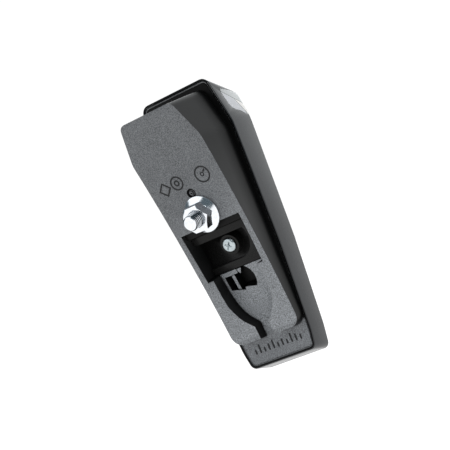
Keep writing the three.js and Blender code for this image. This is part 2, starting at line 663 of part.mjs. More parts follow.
const CONTACT_END = 47.4
const TOOTH_AT = POCKET_LOW + 1.45
const contacts = [-1, 1].map((side) => {
  const x = side * CONTACT_X
  const strip = box(
    x - CONTACT_HALF, x + CONTACT_HALF, POCKET_LOW + 0.85, CONTACT_END, CONTACT_FLOOR, CONTACT_TOP, FACE,
  )
  const leg = box(x - 0.5, x + 0.5, CONTACT_END - 0.5, CONTACT_END, CONTACT_FLOOR - 6, CONTACT_TOP, FACE)
  const teeth = [-0.9, 0, 0.9].map((step) => prism(
    [[TOOTH_AT - 0.5, CONTACT_TOP - 0.1], [TOOTH_AT + 0.5, CONTACT_TOP - 0.1], [TOOTH_AT, CONTACT_TOP + 0.9]],
    x + step - 0.25, x + step + 0.25, FACE_SIDE,
  ))
  return join(strip, leg, ...teeth)
})

// ---------------------------------------------------------------- circuit board and its parts
const boardFront = BOARD_DEPTH + BOARD_THICK
const boardCorners = mirrored([
  [10.2, 71.4, 1.0, 2],
  [12.6, 62.5, 4.0, 2],
  [12.2, 45.2, 1.0, 2],
])
const boardOutline = rounded(boardCorners)
function layer(points, d0, d1) {
  return prism(points, -d1, -d0, HOUSING)
}
function chip(x, u, width, height, d0, d1) {
  return layer([
    [x - width / 2, u - height / 2], [x + width / 2, u - height / 2],
    [x + width / 2, u + height / 2], [x - width / 2, u + height / 2],
  ], d0, d1)
}
const legEnd = faceToHousing(CONTACT_END - 0.25, CONTACT_FLOOR - 5.2)
const boardHoles = [-1, 1].map((side) => chip(side * CONTACT_X, legEnd.u, 1.8, 2.6, 0, 9))
const boardScrewHoles = [-1, 1].map((side) => disc(1.15, side * POST_X, POST_U, -9, 0, HOUSING, 20))
const board = cut(layer(boardOutline, BOARD_DEPTH, boardFront), ...boardHoles, ...boardScrewHoles)
const boardScrews = [-1, 1].map((side) => join(
  disc(1.7, side * POST_X, POST_U, -boardFront - 1.2, -boardFront - THIN, HOUSING, 20),
  disc(0.8, side * POST_X, POST_U, -boardFront - 0.3, -BOARD_DEPTH + 4.6, HOUSING, 16),
))

const LED_U = 66.2
const LED_PITCH = 5.2
const leds = [-1.5, -0.5, 0.5, 1.5].map((step) => {
  const x = step * LED_PITCH
  const body = chip(x, LED_U, 3.0, 2.6, boardFront + THIN, boardFront + 0.75)
  const dome = turned([
    [0, -boardFront - 1.25], [0.6, -boardFront - 1.1], [1.0, -boardFront - 0.7], [0, -boardFront - 0.7],
  ], x, LED_U, HOUSING, 16)
  return join(body, dome)
})

// white tray round the LEDs, its opening flaring to the lens
const trayBack = boardFront + 0.15
const TRAY_LOW = 62.0
const trayFront = frontDepth(TRAY_LOW) - LENS_WALL - FIT

function trayRing(half, low, high, depth) {
  return rounded(mirrored([[half - 0.9, high, 0.8, 2], [half, low, 0.8, 2]])).map(([x, u]) => at(x, depth, u))
}
const tray = cut(
  loft([trayRing(11.6, 62.4, 70.2, trayBack), trayRing(11.9, TRAY_LOW, 70.2, trayFront)]),
  loft([trayRing(9.9, 64.2, 68.3, trayBack - 0.5), trayRing(11.2, 62.7, 69.6, trayFront + 0.1)]),
)
// clear light guide with prism teeth towards the lens
const guideBack = boardFront + 1.45
const guideFront = trayFront - 0.35
const TEETH = 9
const guideHalf = 9.6
const guideProfile = [[-guideHalf, guideBack], [guideHalf, guideBack]]
for (let k = 0; k < TEETH; k += 1) {
  const right = guideHalf - (k * 2 * guideHalf) / TEETH
  guideProfile.push([right, guideFront - 0.7], [right - guideHalf / TEETH, guideFront])
}
guideProfile.push([-guideHalf, guideFront - 0.7])
const GUIDE_PLANE = basis(at(0, 0, 0), at(1, 0, 0), at(0, 1, 0))
const guide = prism(guideProfile, LED_U - 1.5, LED_U + 1.6, GUIDE_PLANE)

const backFace = BOARD_DEPTH - THIN
const standlight = join(
  disc(4.6, 0, 64.6, -backFace, -backFace + 5.2, HOUSING, 28),
  disc(4.25, 0, 64.6, -backFace + 5.0, -backFace + 5.6, HOUSING, 28),
)
const rectifier = chip(-3.6, 54.8, 4.6, 3.8, backFace - 2.2, backFace)
const regulator = chip(3.4, 55.0, 4.9, 3.9, backFace - 1.5, backFace)
const inductor = join(
  chip(0, 50.2, 4.2, 4.2, backFace - 0.9, backFace),
  disc(2.0, 0, 50.2, -backFace + 0.6, -backFace + 2.6, HOUSING, 24),
)
const smoothing = join(
  chip(-8.6, 51.3, 4.0, 4.0, backFace - 0.8, backFace),
  disc(1.95, -8.6, 51.3, -backFace + 0.6, -backFace + 4.2, HOUSING, 24),
)
const resistors = [-1, 1].map((side) => chip(side * 2.0, 59.0, 2.0, 1.25, backFace - 0.55, backFace))

// ---------------------------------------------------------------- assembly
const group = new THREE.Group()
group.name = 'mudguard_rear_light'

function add(name, body, colour, roughness, metalness, opacity = 1) {
  const material = new THREE.MeshStandardMaterial({
    color: colour, roughness, metalness, transparent: opacity < 1, opacity,
  })
  const mesh = new THREE.Mesh(geometryOf(body), material)
  mesh.name = name
  group.add(mesh)
}

add('housing_shell', shell, 0x3a3d40, 0.42, 0)
add('clear_lens', lens, 0xe8ecee, 0.08, 0, 0.5)
add('reflex_reflector', reflector, 0xb01318, 0.15, 0, 0.8)
add('rim_seal', seal, 0x6c7073, 0.6, 0)
add('base_housing', base, 0x4d5053, 0.6, 0)
add('mount_stud', stud, 0xc9ced6, 0.25, 1)
add('flange_nut', nut, 0xc9ced6, 0.22, 1)
add('terminal_block', terminalBlock, 0x141516, 0.35, 0)
add('terminal_cover', cover, 0x101112, 0.25, 0)
add('cover_screw', screw, 0xc4c8cd, 0.25, 1)
add('contact_left', contacts[0], 0xc8a860, 0.3, 1)
add('contact_right', contacts[1], 0xc8a860, 0.3, 1)
add('circuit_board', board, 0x1d5b34, 0.5, 0)
boardScrews.forEach((body, i) => add(`board_screw_${i + 1}`, body, 0xb9bdc2, 0.3, 1))
leds.forEach((body, i) => add(`led_${i + 1}`, body, 0xd9403a, 0.3, 0))
add('reflector_tray', tray, 0xf1f2f2, 0.3, 0)
add('light_guide', guide, 0xeef2f4, 0.08, 0, 0.5)
add('standlight_capacitor', standlight, 0x20242c, 0.4, 0)
add('bridge_rectifier', rectifier, 0x151617, 0.5, 0)
add('regulator_chip', regulator, 0x17181a, 0.5, 0)
add('inductor_coil', inductor, 0x38332f, 0.6, 0)
add('smoothing_capacitor', smoothing, 0xb4b8bc, 0.3, 1)
resistors.forEach((body, i) => add(`resistor_${i + 1}`, body, 0x1a1b1c, 0.5, 0))

export default group
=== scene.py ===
# %% [markdown]
# # A bicycle rear light for a mudguard, from its mounting side
# The CAD part already holds every shape and every joint. This lesson gives it the look of the real
# thing: softened moulded edges, a rolled thread, textured and satin plastics, bright zinc, and a
# clear lens. Each step says what the piece is on the real light, and why it is made this way.

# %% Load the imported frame
import math

import bpy
from mathutils import Matrix, Vector


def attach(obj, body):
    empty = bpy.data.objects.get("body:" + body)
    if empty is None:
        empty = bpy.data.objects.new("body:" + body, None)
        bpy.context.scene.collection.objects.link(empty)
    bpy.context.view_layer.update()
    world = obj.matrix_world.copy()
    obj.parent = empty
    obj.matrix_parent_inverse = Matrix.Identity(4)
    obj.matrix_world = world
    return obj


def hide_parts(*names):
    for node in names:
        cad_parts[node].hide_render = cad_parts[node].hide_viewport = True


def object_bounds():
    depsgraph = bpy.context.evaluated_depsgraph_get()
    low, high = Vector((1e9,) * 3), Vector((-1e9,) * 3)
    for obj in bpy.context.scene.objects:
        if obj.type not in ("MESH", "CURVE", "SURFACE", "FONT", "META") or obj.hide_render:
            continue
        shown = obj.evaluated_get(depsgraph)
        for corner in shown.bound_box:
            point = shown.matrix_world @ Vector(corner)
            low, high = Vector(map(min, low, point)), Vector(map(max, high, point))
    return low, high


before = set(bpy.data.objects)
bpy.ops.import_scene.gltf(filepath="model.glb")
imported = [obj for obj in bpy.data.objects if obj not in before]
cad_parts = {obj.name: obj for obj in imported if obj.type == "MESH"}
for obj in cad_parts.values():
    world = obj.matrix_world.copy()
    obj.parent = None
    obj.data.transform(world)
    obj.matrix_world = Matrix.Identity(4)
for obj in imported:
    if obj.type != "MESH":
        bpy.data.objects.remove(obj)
cad_low, cad_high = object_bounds()
MM = 0.001

# %% [markdown]
# ## Places on the light
# The stud is the light's own reference: its axis leaves the mounting face at the origin. Two
# directions describe the whole mounting side: UP runs along the face, OUT points away from it.
# A point on the face is then easy to name as (across, up, out) in millimetres.

# %% Directions of the mounting face
FACE_LEAN = math.radians(11.1)
UP = Vector((0, -math.sin(FACE_LEAN), math.cos(FACE_LEAN)))
OUT = Vector((0, -math.cos(FACE_LEAN), -math.sin(FACE_LEAN)))
ACROSS = Vector((1, 0, 0))
FACE_TURN = Matrix((ACROSS, UP, OUT)).transposed().to_4x4()


def on_face(across, up, out):
    """A point in the shared frame, from millimetres on the mounting face counted from the stud."""
    return (ACROSS * across + UP * up + OUT * out) * MM


print("OUT:", [round(v, 4) for v in OUT])

# %% [markdown]
# ## Working on copies
# A CAD node's own mesh is never changed. Merging turns the loose triangles into real faces, so
# that edges can be found by their angle and softened.

# %% Select what an operator acts on
def only(piece):
    """Deselect everything, then make this piece the active one."""
    bpy.ops.object.select_all(action="DESELECT")
    piece.select_set(True)
    bpy.context.view_layer.objects.active = piece


def select_where(piece, kind, wanted):
    """Select a piece's faces or edges that pass a test, and leave it in edit mode."""
    only(piece)
    bpy.ops.object.mode_set(mode="EDIT")
    bpy.ops.mesh.select_mode(type=kind)
    bpy.ops.mesh.select_all(action="DESELECT")
    bpy.ops.object.mode_set(mode="OBJECT")
    for part in piece.data.polygons if kind == "FACE" else piece.data.edges:
        part.select = wanted(part)
    bpy.ops.object.mode_set(mode="EDIT")


# %% Copy a node and merge its faces
WELD = 1e-6
NODE_WELD = 2e-6
FLAT_ANGLE = math.radians(0.6)


def weld(piece):
    """Merge points that lie within a micron, so that no face is left without an area."""
    only(piece)
    bpy.ops.object.mode_set(mode="EDIT")
    bpy.ops.mesh.select_all(action="SELECT")
    bpy.ops.mesh.remove_doubles(threshold=WELD)
    bpy.ops.object.mode_set(mode="OBJECT")


def merged_copy(node, name, body):
    """A piece with the node's shape, its triangles merged to flat faces."""
    piece = bpy.data.objects.new(name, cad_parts[node].data.copy())
    bpy.context.scene.collection.objects.link(piece)
    piece.data.materials.clear()
    only(piece)
    bpy.ops.object.mode_set(mode="EDIT")
    bpy.ops.mesh.select_all(action="SELECT")
    bpy.ops.mesh.remove_doubles(threshold=NODE_WELD)
    bpy.ops.mesh.dissolve_limited(angle_limit=FLAT_ANGLE)
    bpy.ops.object.mode_set(mode="OBJECT")
    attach(piece, body)
    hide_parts(node)
    return piece


# %% [markdown]
# ## Softened edges
# No moulded or turned edge is truly sharp: it carries a small radius that catches the light as a
# thin bright line. The Bevel modifier rounds every edge above an angle, and smoothing by angle
# blends the many narrow facets of the curved walls.

# %% Round the edges of a piece
def soften(piece, width_mm, segments=2, edge_angle=28, smooth_angle=24):
    """Round a piece's sharp edges and smooth its curved walls. Angles are in degrees."""
    only(piece)
    bevel = piece.modifiers.new("edge radius", "BEVEL")
    bevel.width = width_mm * MM
    bevel.segments = segments
    bevel.limit_method = "ANGLE"
    bevel.angle_limit = math.radians(edge_angle)
    bevel.miter_outer = "MITER_ARC"
    bpy.ops.object.modifier_apply(modifier=bevel.name)
    bpy.ops.object.shade_smooth_by_angle(angle=math.radians(smooth_angle))
    print(piece.name, "faces:", len(piece.data.polygons))
    return piece


# %% [markdown]
# ## Materials
# Each finish is built from nodes that read Object coordinates, so it stays put on the piece. A
# small kit of nodes is enough: noise at one or two scales for colour and roughness, the same noise
# as a bump for the mould's texture, and a few nodes that mix colours by place.

# %% Small tools for node materials
def start_material(name):
    """A new material, with its nodes, its links and its shader."""
    material = bpy.data.materials.new(name)
    material.use_nodes = True
    nodes = material.node_tree.nodes
    return material, nodes, material.node_tree.links, nodes["Principled BSDF"]


def noise(nodes, links, scale, detail=2.0, stretch=(1, 1, 1)):
    """Noise on Object coordinates. Scale is in features per metre, so 1000 is one per millimetre."""
    coordinates = nodes.new("ShaderNodeTexCoord")
    mapping = nodes.new("ShaderNodeMapping")
    mapping.inputs["Scale"].default_value = stretch
    texture = nodes.new("ShaderNodeTexNoise")
    texture.inputs["Scale"].default_value = scale
    texture.inputs["Detail"].default_value = detail
    links.new(coordinates.outputs["Object"], mapping.inputs["Vector"])
    links.new(mapping.outputs["Vector"], texture.inputs["Vector"])
    return texture.outputs["Fac"]


def ramp(nodes, links, factor, low, high, low_at=0.3, high_at=0.7):
    """Blend from one grey or colour to another over part of the factor's range."""
    blend = nodes.new("ShaderNodeValToRGB")
    ends = blend.color_ramp.elements
    for end, value, place in ((ends[0], low, low_at), (ends[1], high, high_at)):
        end.position = place
        end.color = (*value, 1) if isinstance(value, tuple) else (value, value, value, 1)
    links.new(factor, blend.inputs["Fac"])
    return blend.outputs["Color"]


def full_ramp(nodes, links, factor, low, high):
    """Blend from one grey or colour to another over the factor's whole range."""
    return ramp(nodes, links, factor, low, high, 0.0, 1.0)


def bump(nodes, links, height, strength, depth_mm):
    relief = nodes.new("ShaderNodeBump")
    relief.inputs["Strength"].default_value = strength
    relief.inputs["Distance"].default_value = depth_mm * MM
    links.new(height, relief.inputs["Height"])
    return relief.outputs["Normal"]


def toned(colour, amount):
    """The same colour, lighter or darker by a factor."""
    return tuple(channel * amount for channel in colour)


# %% Tools that mix colours and values
def mix_colours(nodes, links, factor, first, second, blend_type="MIX"):
    """Mix two colours, each a node's output or a plain colour. Without a factor it mixes fully."""
    mix = nodes.new("ShaderNodeMix")
    mix.data_type = "RGBA"
    mix.blend_type = blend_type
    mix.inputs["Factor"].default_value = 1.0
    if factor is not None:
        links.new(factor, mix.inputs["Factor"])
    for socket, colour in (("A", first), ("B", second)):
        if isinstance(colour, tuple):
            mix.inputs[socket].default_value = (*colour, 1)
        else:
            links.new(colour, mix.inputs[socket])
    return mix.outputs["Result"]


def combine(nodes, links, operation, first, second):
    """Join two values by one operation of arithmetic."""
    joined = nodes.new("ShaderNodeMath")
    joined.operation = operation
    links.new(first, joined.inputs[0])
    links.new(second, joined.inputs[1])
    return joined.outputs["Value"]


def reach(nodes, links, vector, axis):
    """How far a place or a normal reaches along an axis."""
    product = nodes.new("ShaderNodeVectorMath")
    product.operation = "DOT_PRODUCT"
    product.inputs[1].default_value = axis
    links.new(vector, product.inputs[0])
    return product.outputs["Value"]


def distance(nodes, links, vector, centre):
    """How far a place lies from a centre, which is a plain point or a node's output."""
    length = nodes.new("ShaderNodeVectorMath")
    length.operation = "DISTANCE"
    links.new(vector, length.inputs[0])
    if isinstance(centre, Vector):
        length.inputs[1].default_value = centre
    else:
        links.new(centre, length.inputs[1])
    return length.outputs["Value"]


# %% Masks by place
FAR = 1000


def fall(nodes, links, value, start_mm, end_mm):
    """Rise from zero at one value to one at another, both in millimetres."""
    slope = nodes.new("ShaderNodeMapRange")
    slope.inputs["From Min"].default_value = start_mm * MM
    slope.inputs["From Max"].default_value = end_mm * MM
    links.new(value, slope.inputs["Value"])
    return slope.outputs["Result"]


def band(nodes, links, value, low_mm, high_mm, fade_mm):
    """One where a value lies between two others in millimetres, else zero."""
    rise = fall(nodes, links, value, low_mm - fade_mm, low_mm + fade_mm)
    drop = fall(nodes, links, value, high_mm + fade_mm, high_mm - fade_mm)
    return combine(nodes, links, "MULTIPLY", rise, drop)


def mask_between(nodes, links, coordinates, axis, low_mm, high_mm, fade_mm=0.05):
    """One where the place along an axis lies between two values in millimetres, else zero."""
    along = reach(nodes, links, coordinates.outputs["Object"], axis)
    return band(nodes, links, along, low_mm, high_mm, fade_mm)


# %% [markdown]
# ### Plastics
# The shell is a satin grey with a very fine grain. The seal, the terminal block and its cover are
# moulded too, and so are the board's parts, so one function makes them all: the colour drifts
# slightly, the roughness varies, and the grain is a bump.

# %% Moulded plastic
def moulded(name, colour, roughness, grain_per_mm, grain_mm, drift=0.12, level=0.5, coat=0.0):
    material, nodes, links, shader = start_material(name)
    cloud = noise(nodes, links, 90, 3)
    grain = noise(nodes, links, grain_per_mm * 1000, 3)
    tint = ramp(nodes, links, cloud, toned(colour, 1 - drift), toned(colour, 1 + drift))
    links.new(tint, shader.inputs["Base Color"])
    spread = ramp(nodes, links, grain, max(roughness - 0.06, 0.02), min(roughness + 0.08, 1))
    links.new(spread, shader.inputs["Roughness"])
    shader.inputs["Specular IOR Level"].default_value = level
    shader.inputs["Coat Weight"].default_value = coat
    shader.inputs["Coat Roughness"].default_value = 0.12
    links.new(bump(nodes, links, grain, 0.6, grain_mm), shader.inputs["Normal"])
    return material


shell_grey = moulded("satin_shell_grey", (0.021, 0.0235, 0.026), 0.2, 9, 0.002, level=0.45)
seal_grey = moulded("seal_grey", (0.13, 0.135, 0.14), 0.45, 7, 0.01)
block_black = moulded("block_black", (0.005, 0.005, 0.005), 0.42, 6, 0.006, level=0.12)
cover_black = moulded("cover_gloss_black", (0.007, 0.007, 0.0068), 0.26, 5, 0.006, level=0.16)
print("moulded plastics:", [m.name for m in (shell_grey, seal_grey, block_black, cover_black)])

# %% [markdown]
# ### Painted shade on the shell's rim
# The shell's wall ends in a narrow rim that lies sunk beside the seal. Shade is painted on it: its
# faces are painted nearly black and lose their shine, while the shell's sides keep theirs. The rim's
# faces all look the same way, so the normal finds them.

# %% Painted shade on the rim
RIM_LOOKS = (0, -1, 0)
RIM_FACING = (0.7, 0.9)
RIM_SHINE = 0.08


def painted_rim_shade(material, shade):
    """Paint shade on the faces of a material that look the way the rim does: darker, with less shine.
    """
    nodes, links = material.node_tree.nodes, material.node_tree.links
    shader = nodes["Principled BSDF"]
    coordinates = nodes.new("ShaderNodeTexCoord")
    facing = reach(nodes, links, coordinates.outputs["Normal"], RIM_LOOKS)
    rim = ramp(nodes, links, facing, 0.0, 1.0, *RIM_FACING)
    plain = shader.inputs["Base Color"].links[0].from_socket
    # Painted shade: the rim gets a near-black colour and almost no shine.
    links.new(mix_colours(nodes, links, rim, plain, shade), shader.inputs["Base Color"])
    links.new(full_ramp(nodes, links, rim, 1.0, RIM_SHINE), shader.inputs["Specular Tint"])


painted_rim_shade(shell_grey, (0.003, 0.003, 0.0032))
print("shell rim darkened")

# %% [markdown]
# ### The base's two textures
# The base has a coarse spark-eroded grain on the faces that look outwards, which reads as a light,
# even speckle. The flanks of the pad are drawn out of the mould, so they stay smooth and dark. The
# piece's own normal tells the two apart: it is near OUT on the grained faces and across it on the
# walls. Light and shade are painted on too, because soft light alone leaves them flat: painted shade
# makes the wire pit and the ring left by the mould's gate dark, painted light makes the pad lighter
# towards its foot and the funnel's floor lighter, painted shade darkens the walls towards their foot,
# and painted shade lies in the inner corners.

# %% Places, tones, and painted light and shade on the base
GRAIN_FACING = (0.55, 0.86)
GRAIN_PER_METRE = 4200
GRAIN_DEPTH = 0.03
RIM_STRIP_Y = 9.3
FOOT_STRIP_Z = -40.5
FOOT_TONE = 0.78
FUNNEL_HALF = 12
FUNNEL_OUT = (-8.0, -3.0)
FUNNEL_FADE = 0.8
# Painted light: how much lighter the funnel's floor is painted.
FUNNEL_PAINTED_LIGHT = 0.2
# Places of the painted shade over the wire pit and in the rings of the mould's gate.
CAVITY_UP = (-28.0, -3.0)
CAVITY_OUT = (-40.0, -6.1)
GATE_PLACE = (0, 7.03, 0.0)
GATE_RINGS = ((0.95, 1.5), (-0.1, 0.32))
GATE_FADE = 0.06
# Painted light and shade from top to foot: the face is painted darker towards the top, and the walls'
# shine is painted lower there.
TONE_DIRECTION = (0.5, 0, -1)
TONE_RUN = (-12, 36)
FACE_SHADE_TOP = 0.54
WALL_SHADE_TOP = 0.45
# Painted shade on the smooth walls, growing deeper from the face.
WALL_SHADE_Y = (3.0, 9.8)
# Reach of the painted shade in the inner corners.
CREVICE_REACH = 0.7


# %% Parts of the base
def base_places(nodes, links, coordinates):
    """Masks for the grained faces, the foot strip, the funnel's floor and the wire pit."""
    def between(axis, low, high, fade=0.05):
        return mask_between(nodes, links, coordinates, axis, low, high, fade)

    def both(first, second):
        return combine(nodes, links, "MULTIPLY", first, second)

    def either(first, second):
        return combine(nodes, links, "MAXIMUM", first, second)

    outwards = reach(nodes, links, coordinates.outputs["Normal"], OUT)
    facing = ramp(nodes, links, outwards, 0.0, 1.0, *GRAIN_FACING)
    on_pad = between((0, 1, 0), -FAR, RIM_STRIP_Y)
    at_foot = between((0, 0, 1), -FAR, FOOT_STRIP_Z)
    across = between(ACROSS, -FUNNEL_HALF, FUNNEL_HALF)
    in_funnel = both(across, between((0, 0, 1), -FAR, 0))
    grained = both(facing, either(on_pad, either(at_foot, in_funnel)))
    floor = both(in_funnel, between(OUT, *FUNNEL_OUT, FUNNEL_FADE))
    pit = both(both(between(UP, *CAVITY_UP), between(OUT, *CAVITY_OUT)), across)
    return grained, at_foot, floor, pit


def painted_shade_places(nodes, links, coordinates, pit, corners):
    """Painted shade over the wire pit, in the rings of the mould's gate and in the inner corners, as
    one mask.
    """
    from_gate = distance(nodes, links, coordinates.outputs["Object"], on_face(*GATE_PLACE))
    dark = combine(nodes, links, "MAXIMUM", pit, corners)
    for inner, outer in GATE_RINGS:
        ring = band(nodes, links, from_gate, inner, outer, GATE_FADE)
        dark = combine(nodes, links, "MAXIMUM", dark, ring)
    return dark


def painted_corner_shade(nodes, links):
    """Painted shade in the narrow corners of a piece: one where much of its own shape is close by."""
    crevice = nodes.new("ShaderNodeAmbientOcclusion")
    crevice.only_local = True
    crevice.samples = 8
    crevice.inputs["Distance"].default_value = CREVICE_REACH * MM
    return ramp(nodes, links, crevice.outputs["AO"], 1.0, 0.0, 0.6, 0.95)


# %% Base plastic with grained faces, smooth walls, and painted light and shade
def grained_base(name, grained, smooth):
    material, nodes, links, shader = start_material(name)
    coordinates = nodes.new("ShaderNodeTexCoord")
    places = coordinates.outputs["Object"]
    share, at_foot, funnel_floor, pit = base_places(nodes, links, coordinates)
    # Painted shade over the pit, in the gate's rings and in the inner corners.
    dark = painted_shade_places(nodes, links, coordinates, pit, painted_corner_shade(nodes, links))
    # Painted light from top to foot.
    painted_light_slope = fall(nodes, links, reach(nodes, links, places, TONE_DIRECTION), *TONE_RUN)
    # Painted shade deeper in the walls.
    depth = fall(nodes, links, reach(nodes, links, places, (0, 1, 0)), *WALL_SHADE_Y)

    fine = noise(nodes, links, GRAIN_PER_METRE, 3)
    # Random wear, a darker foot strip, and painted light that makes the funnel's floor lighter.
    wear_and_painted_light = ramp(nodes, links, noise(nodes, links, 120, 3), 0.88, 1.0)
    wear_and_painted_light = combine(nodes, links, "MULTIPLY", wear_and_painted_light, full_ramp(nodes, links, at_foot, 1.0, FOOT_TONE))
    painted_funnel_light = full_ramp(nodes, links, funnel_floor, 0.0, FUNNEL_PAINTED_LIGHT)
    wear_and_painted_light = combine(nodes, links, "ADD", wear_and_painted_light, painted_funnel_light)
    # Painted light: the face is painted darker towards the top.
    face_tone = full_ramp(nodes, links, painted_light_slope, FACE_SHADE_TOP, 1.0)
    face_tone = mix_colours(nodes, links, None, face_tone, wear_and_painted_light, "MULTIPLY")
    speckle = ramp(nodes, links, fine, toned(grained, 0.5), toned(grained, 1.55), 0.38, 0.62)
    speckle = mix_colours(nodes, links, None, speckle, face_tone, "MULTIPLY")
    # Painted shade: the smooth walls are painted darker deeper from the face.
    walls = full_ramp(nodes, links, depth, smooth, toned(smooth, 0.3))
    paint = mix_colours(nodes, links, share, walls, speckle)
    # Painted shade: the pit, the gate's rings and the inner corners get a dark colour.
    paint = mix_colours(nodes, links, dark, paint, toned(smooth, 0.35))
    links.new(paint, shader.inputs["Base Color"])

    # Painted shade: the walls' shine is lower towards the top.
    wall_painted_shade = ramp(nodes, links, painted_light_slope, WALL_SHADE_TOP, 1.0, 0.0, 0.5)
    shine = combine(nodes, links, "MAXIMUM", share, wall_painted_shade)
    # Painted shade on the shine: lower deep in the walls, and over the pit, the gate's rings and the
    # inner corners.
    for shade in (full_ramp(nodes, links, depth, 1.0, 0.2), full_ramp(nodes, links, dark, 1.0, 0.06)):
        shine = combine(nodes, links, "MULTIPLY", shine, shade)
    links.new(shine, shader.inputs["Specular Tint"])
    shader.inputs["Specular IOR Level"].default_value = 0.4
    links.new(full_ramp(nodes, links, share, 0.34, 0.62), shader.inputs["Roughness"])
    relief = bump(nodes, links, fine, 1.0, GRAIN_DEPTH)
    links.new(full_ramp(nodes, links, share, 0.04, 0.75), relief.node.inputs["Strength"])
    links.new(relief, shader.inputs["Normal"])
    return material


base_grey = grained_base("grained_base_grey", (0.232, 0.242, 0.254), (0.013, 0.0133, 0.0135))
print("base material nodes:", len(base_grey.node_tree.nodes))

# %% [markdown]
# ### Bright zinc, brass and bare aluminium
# Zinc plate is a true metal: all of its look is what it mirrors, slightly blurred. Fine noise in
# the roughness and a faint scratch keep it from looking like chrome.

# %% Plated metal
SCRATCHES_PER_METRE = 2200


def plated(name, colour, roughness, scratch_mm=0.004, stretch=(1, 1, 1)):
    material, nodes, links, shader = start_material(name)
    shader.inputs["Metallic"].default_value = 1.0
    patches = noise(nodes, links, 700, 3)
    scratches = noise(nodes, links, SCRATCHES_PER_METRE, 2, stretch)
    tint = ramp(nodes, links, patches, toned(colour, 0.86), colour)
    links.new(tint, shader.inputs["Base Color"])
    spread = ramp(nodes, links, scratches, roughness * 0.75, roughness * 1.3)
    links.new(spread, shader.inputs["Roughness"])
    links.new(bump(nodes, links, scratches, 0.35, scratch_mm), shader.inputs["Normal"])
    return material


zinc = plated("bright_zinc", (0.88, 0.91, 0.95), 0.17, 0.0015)
screw_zinc = plated("screw_zinc", (0.5, 0.56, 0.58), 0.26, 0.003)
thread_zinc = plated("thread_zinc", (0.88, 0.91, 0.95), 0.17, 0.0015)
brass = plated("contact_brass", (0.83, 0.62, 0.3), 0.25, 0.004, (1, 6, 1))
bare_can = plated("bare_aluminium", (0.8, 0.81, 0.82), 0.3)
print("metals:", [m.name for m in (zinc, screw_zinc, thread_zinc, brass, bare_can)])

# %% [markdown]
# ### Clear and tinted plastics
# The lens is thick clear plastic with moulded facets. From most sides it mirrors more than it shows,
# so its facets carry painted reflections, pale panes with thin edge lines, and only a little light
# passes through. The light guide and the LEDs are plain clear resin. The reflex reflector is a clear
# red sheet over rows of tiny prisms, made here as a cell pattern with a painted glint in each cell.

# %% Clear resin and the faceted lens with painted reflections
PLASTIC_IOR = 1.49
FACET_EDGE = 0.14


def clear(name, colour, roughness):
    material, nodes, links, shader = start_material(name)
    shader.inputs["Transmission Weight"].default_value = 0.86
    shader.inputs["IOR"].default_value = PLASTIC_IOR
    haze = noise(nodes, links, 400, 2)
    links.new(ramp(nodes, links, haze, toned(colour, 0.95), colour), shader.inputs["Base Color"])
    spread = ramp(nodes, links, haze, roughness * 0.6, roughness * 1.4)
    links.new(spread, shader.inputs["Roughness"])
    return material


def faceted_clear(name, first_reflection, facets, edge_colour):
    """A clear lens whose moulded facets carry painted reflections: pale panes divided by grey-green
    edge lines.
    """
    material, nodes, links, shader = start_material(name)
    coordinates = nodes.new("ShaderNodeTexCoord")
    haze = noise(nodes, links, 500, 2)
    colour = ramp(nodes, links, haze, toned(first_reflection, 0.94), first_reflection)
    for axis, place, reflection in facets:
        beyond = mask_between(nodes, links, coordinates, axis, place, FAR)
        line = mask_between(nodes, links, coordinates, axis, place - FACET_EDGE, place + FACET_EDGE)
        colour = mix_colours(nodes, links, beyond, colour, reflection)
        colour = mix_colours(nodes, links, line, colour, edge_colour)
    links.new(colour, shader.inputs["Base Color"])
    shader.inputs["Transmission Weight"].default_value = 0.2
    shader.inputs["IOR"].default_value = PLASTIC_IOR
    links.new(ramp(nodes, links, haze, 0.03, 0.08), shader.inputs["Roughness"])
    return material


LENS_FACETS = [
    # direction the facet starts along, place in mm, colour of its painted reflection
    ((0, 0.943, 0.332), 25.5, (0.83, 0.8, 0.77)),
    ((0, 0.607, 0.796), 33.2, (0.5, 0.52, 0.52)),
]
lens_clear = faceted_clear("lens_clear", (0.62, 0.63, 0.66), LENS_FACETS, (0.16, 0.18, 0.17))
guide_clear = clear("guide_clear", (0.95, 0.96, 0.96), 0.06)
led_red = clear("led_red_resin", (0.9, 0.2, 0.16), 0.1)
print("clear plastics:", [m.name for m in (lens_clear, guide_clear, led_red)])


# %% Red reflector
def prismatic(name, colour, cell_mm):
    material, nodes, links, shader = start_material(name)
    coordinates = nodes.new("ShaderNodeTexCoord")
    cells = nodes.new("ShaderNodeTexVoronoi")
    cells.inputs["Scale"].default_value = 1000 / cell_mm
    cells.inputs["Randomness"].default_value = 0.0
    links.new(coordinates.outputs["Object"], cells.inputs["Vector"])
    prism = cells.outputs["Distance"]
    # Painted glint: each prism cell is painted lighter in its middle and darker at its edge.
    shine = ramp(nodes, links, prism, toned(colour, 1.6), toned(colour, 0.5), 0.1, 0.8)
    links.new(shine, shader.inputs["Base Color"])
    links.new(bump(nodes, links, prism, 0.5, 0.12), shader.inputs["Normal"])
    shader.inputs["Roughness"].default_value = 0.22
    shader.inputs["Coat Weight"].default_value = 0.5
    shader.inputs["Coat Roughness"].default_value = 0.04
    return material


reflex_red = prismatic("reflex_red", (0.3, 0.005, 0.007), 1.6)
print("reflector:", reflex_red.name)

# %% [markdown]
# ## The mounting stud
# A real M5 stud has a rolled thread of 0.8 mm pitch. A Screw modifier sweeps one tooth up and
# round, which is just how a thread is rolled. Two bisecting cuts then trim it square, and its two
# ends are filled. It is made upright at the origin, and turned onto the face when it is finished.

